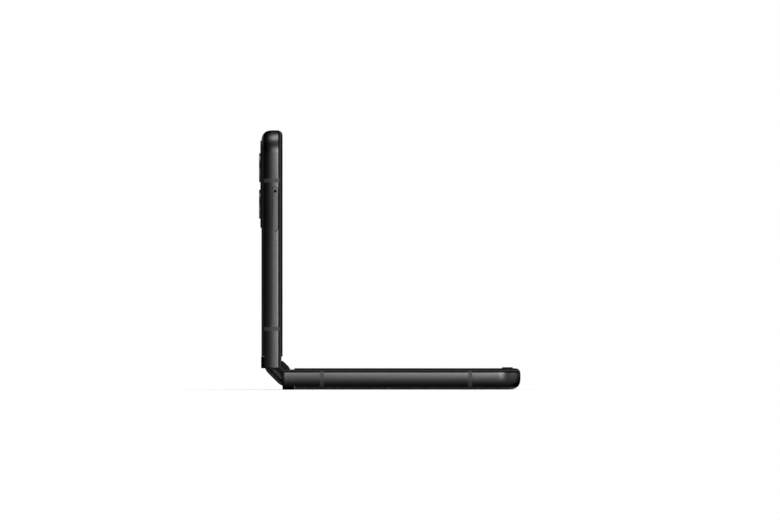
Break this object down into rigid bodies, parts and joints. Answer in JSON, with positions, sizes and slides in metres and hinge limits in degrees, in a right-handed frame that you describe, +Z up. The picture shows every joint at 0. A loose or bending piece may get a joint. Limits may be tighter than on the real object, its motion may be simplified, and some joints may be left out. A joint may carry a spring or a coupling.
{
  "type": "foldable smartphone",
  "caption": "Clamshell foldable smartphone standing open at a right angle, with a two-axis geared hinge spine, folding screen, side keys, card tray and raised camera panel.",
  "frame": {"origin": "on the surface that the phone stands on, midway along X and midway across the width", "axes": "+X from the hinge towards the free end of the lower half, +Y along the hinge towards the side with the keys, +Z up, along the upper half"},
  "size_m": [0.0912, 0.0723, 0.0905],
  "materials": {
    "frame": "satin black anodised",
    "band": "matt dark grey",
    "bezel": "fine matt black",
    "rubber": "soft black",
    "back_glass": "hazed black glass",
    "panel_glass": "polished black glass",
    "screen": "glossy, unlit",
    "steel": "satin",
    "dark_steel": "dark satin",
    "battery": "matt wrap",
    "board": "solder mask",
    "black_plastic": "matt black",
    "copper": "enamelled copper",
    "ferrite": "matt",
    "magnet": "nickel plate",
    "polyimide": "amber film",
    "ring": "turned dark grey",
    "lens": "coated glass",
    "flash": "fresnel lens",
    "gold_steel": "bright satin"
  },
  "bodies": {
    "lower_half": {"lower_frame": "frame", "lower_antenna_bands": "band", "lower_bezel": "bezel", "lower_bumpers": "rubber", "lower_back_cover": "back_glass", "lower_display": "screen", "lower_display_plate": "steel", "lower_battery": "battery", "lower_board": "board", "lower_magnets": "magnet", "lower_screws": "steel", "lower_wings": "steel", "lower_flex": "polyimide", "usb_port": "steel", "usb_tongue": "black_plastic", "loudspeaker": "black_plastic", "vibration_motor": "steel", "wireless_coil": "copper", "coil_shield": "ferrite"},
    "hinge_spine": {"hinge_cover": "frame", "guide_blocks": "dark_steel", "gear_frames": "dark_steel", "cam_blocks": "gold_steel", "hinge_springs": "steel", "hinge_end_caps": "black_plastic", "hinge_screws": "steel", "display_fold": "screen", "flex_fold": "polyimide"},
    "upper_half": {"upper_frame": "frame", "upper_antenna_bands": "band", "upper_bezel": "bezel", "upper_back_cover": "back_glass", "cover_panel": "panel_glass", "cover_display": "screen", "camera_rings": "ring", "camera_lenses": "lens", "camera_modules": "black_plastic", "flash_lens": "flash", "upper_display": "screen", "upper_display_plate": "steel", "upper_battery": "battery", "main_board": "board", "shield_cans": "steel", "front_camera": "black_plastic", "earpiece": "black_plastic", "tray_reader": "steel", "key_switches": "gold_steel", "upper_magnets": "magnet", "upper_screws": "steel", "upper_wings": "steel", "upper_flex": "polyimide"},
    "sim_tray": {"sim_tray": "frame"},
    "power_key": {"power_key": "frame"},
    "volume_key": {"volume_key": "frame"},
    "vibration_mass": {"vibration_mass": "dark_steel"},
    "focus_barrel": {"focus_barrel": "black_plastic"},
    "lower_cranks": {"lower_cranks": "gold_steel"},
    "upper_cranks": {"upper_cranks": "gold_steel"},
    "lower_idlers": {"lower_idlers": "gold_steel"},
    "upper_idlers": {"upper_idlers": "gold_steel"}
  },
  "joints": [
    {"name": "fold_lower", "type": "hinge", "parent": "lower_half", "child": "hinge_spine", "pos_m": [-0.03533, 0, 0.0064], "axis": [0, 1, 0], "range_deg": [-45, 45.65], "deforming": ["display_fold", "flex_fold"]},
    {"name": "fold_upper", "type": "hinge", "parent": "hinge_spine", "child": "upper_half", "pos_m": [-0.03844, 0, 0.00951], "axis": [0, 1, 0], "range_deg": [-45, 45.65]},
    {"name": "lower_crank_turn", "type": "hinge", "parent": "hinge_spine", "child": "lower_cranks", "pos_m": [-0.03622, 0, 0.00333], "axis": [0, 1, 0], "range_deg": [-45.65, 45]},
    {"name": "upper_crank_turn", "type": "hinge", "parent": "hinge_spine", "child": "upper_cranks", "pos_m": [-0.04151, 0, 0.00862], "axis": [0, 1, 0], "range_deg": [-45, 45.65]},
    {"name": "lower_idler_turn", "type": "hinge", "parent": "hinge_spine", "child": "lower_idlers", "pos_m": [-0.03812, 0, 0.00495], "axis": [0, 1, 0], "range_deg": [-45, 45.65]},
    {"name": "upper_idler_turn", "type": "hinge", "parent": "hinge_spine", "child": "upper_idlers", "pos_m": [-0.03989, 0, 0.00672], "axis": [0, 1, 0], "range_deg": [-45.65, 45]},
    {"name": "tray_slide", "type": "slide", "parent": "upper_half", "child": "sim_tray", "axis": [0, -1, 0], "range_m": [0, 0.016]},
    {"name": "power_press", "type": "slide", "parent": "upper_half", "child": "power_key", "axis": [0, -1, 0], "range_m": [0, 0.00025], "stiffness_N_per_m": 3000},
    {"name": "volume_rock", "type": "hinge", "parent": "upper_half", "child": "volume_key", "pos_m": [-0.03994, 0.0339, 0.06896], "axis": [1, 0, 0], "range_deg": [-1.2, 1.2], "stiffness_Nm_per_rad": 0.3},
    {"name": "vibration_slide", "type": "slide", "parent": "lower_half", "child": "vibration_mass", "axis": [0, 1, 0], "range_m": [-0.0004, 0.0004], "stiffness_N_per_m": 2000},
    {"name": "focus_slide", "type": "slide", "parent": "upper_half", "child": "focus_barrel", "axis": [-1, 0, 0], "range_m": [0, 0.00025], "stiffness_N_per_m": 500}
  ],
  "couplings": [
    {"joint": "fold_upper", "follows": "fold_lower", "ratio": 1},
    {"joint": "lower_crank_turn", "follows": "fold_lower", "ratio": -1},
    {"joint": "upper_crank_turn", "follows": "fold_lower", "ratio": 1},
    {"joint": "lower_idler_turn", "follows": "fold_lower", "ratio": 1},
    {"joint": "upper_idler_turn", "follows": "fold_lower", "ratio": -1}
  ]
}
